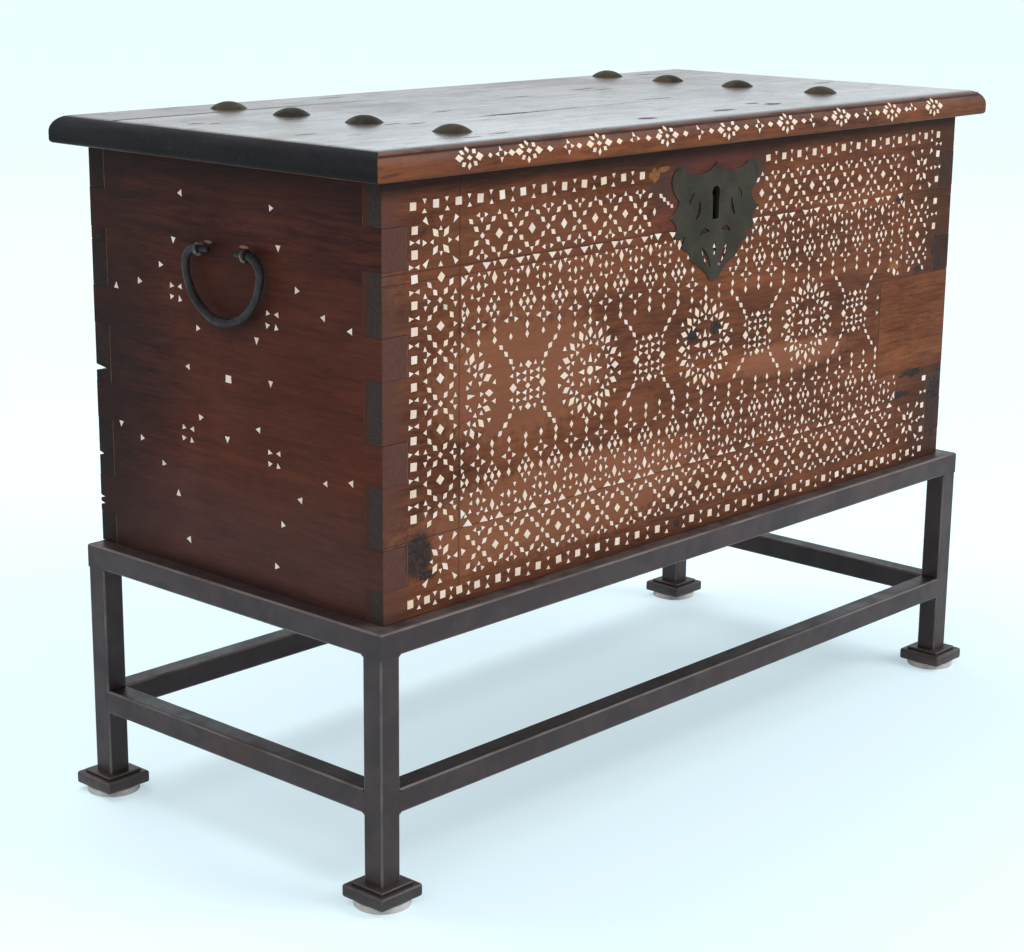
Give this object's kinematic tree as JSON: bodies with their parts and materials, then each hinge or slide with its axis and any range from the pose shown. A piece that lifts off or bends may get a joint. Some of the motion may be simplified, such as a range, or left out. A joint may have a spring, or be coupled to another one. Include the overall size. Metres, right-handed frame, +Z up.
{
  "type": "inlaid chest on stand",
  "caption": "Antique comb-jointed wooden chest with shell inlay, hinged lid, pierced lock plate and drop handles, on a square tube metal stand.",
  "frame": {"origin": "middle of the footprint, on the floor", "axes": "+X along the chest to the right as seen from the front, -Y out of the inlaid front, +Z up"},
  "size_m": [1.0306, 0.4854, 0.7296],
  "materials": {
    "stand_steel": "waxed dark steel",
    "foot_steel": "waxed dark steel",
    "glide_pad": "matt",
    "chest_wood": "waxed reddish brown",
    "patch_wood": "waxed reddish brown",
    "inside_wood": "bare",
    "lid_wood": "polished by use",
    "boss_iron": "worn bright",
    "hinge_iron": "dark",
    "lock_iron": "dark",
    "plate_brass": "dark patina",
    "shell_inlay": "polished shell",
    "handle_iron": "dark"
  },
  "bodies": {
    "chest": {"leg_front_left": "stand_steel", "leg_front_right": "stand_steel", "leg_back_left": "stand_steel", "leg_back_right": "stand_steel", "top_rail_front": "stand_steel", "top_rail_back": "stand_steel", "top_rail_left": "stand_steel", "top_rail_right": "stand_steel", "stretcher_front": "stand_steel", "stretcher_back": "stand_steel", "stretcher_left": "stand_steel", "stretcher_right": "stand_steel", "weld_beads": "stand_steel", "foot_collar_front_left": "foot_steel", "foot_collar_front_right": "foot_steel", "foot_collar_back_left": "foot_steel", "foot_collar_back_right": "foot_steel", "foot_plate_front_left": "foot_steel", "foot_plate_front_right": "foot_steel", "foot_plate_back_left": "foot_steel", "foot_plate_back_right": "foot_steel", "glide_pad_front_left": "glide_pad", "glide_pad_front_right": "glide_pad", "glide_pad_back_left": "glide_pad", "glide_pad_back_right": "glide_pad", "front_upper_board": "chest_wood", "front_lower_board": "chest_wood", "back_upper_board": "chest_wood", "back_lower_board": "chest_wood", "left_end_board": "chest_wood", "right_end_board": "chest_wood", "front_patch": "patch_wood", "bottom_front_board": "inside_wood", "bottom_back_board": "inside_wood", "back_leaf_left": "hinge_iron", "back_leaf_right": "hinge_iron", "hinge_pin_left": "hinge_iron", "hinge_pin_right": "hinge_iron", "lock_case": "lock_iron", "bolt_spring": "lock_iron", "lock_plate": "plate_brass", "handle_eyes_left": "handle_iron", "handle_eyes_right": "handle_iron"},
    "lid": {"lid_front_board": "lid_wood", "lid_back_board": "lid_wood", "lid_boss_left_1": "boss_iron", "lid_boss_left_2": "boss_iron", "lid_boss_left_3": "boss_iron", "lid_boss_left_4": "boss_iron", "lid_boss_right_1": "boss_iron", "lid_boss_right_2": "boss_iron", "lid_boss_right_3": "boss_iron", "lid_boss_right_4": "boss_iron", "lid_strap_left": "hinge_iron", "lid_strap_right": "hinge_iron", "lid_staple": "hinge_iron"},
    "handle_left": {"handle_left": "handle_iron"},
    "handle_right": {"handle_right": "handle_iron"},
    "lock_bolt": {"lock_bolt": "lock_iron"}
  },
  "joints": [
    {"name": "lid_hinge", "type": "hinge", "parent": "chest", "child": "lid", "pos_m": [0, 0.22045, 0.6884], "axis": [-1, 0, 0], "range_deg": [0, 100]},
    {"name": "handle_left_swing", "type": "hinge", "parent": "chest", "child": "handle_left", "pos_m": [-0.4905, -0.00235, 0.6077], "axis": [0, 1, 0], "range_deg": [0, 170]},
    {"name": "handle_right_swing", "type": "hinge", "parent": "chest", "child": "handle_right", "pos_m": [0.4905, -0.00235, 0.6077], "axis": [0, -1, 0], "range_deg": [0, 170]},
    {"name": "lock_bolt_slide", "type": "slide", "parent": "chest", "child": "lock_bolt", "axis": [1, 0, 0], "range_m": [0, 0.012]}
  ]
}
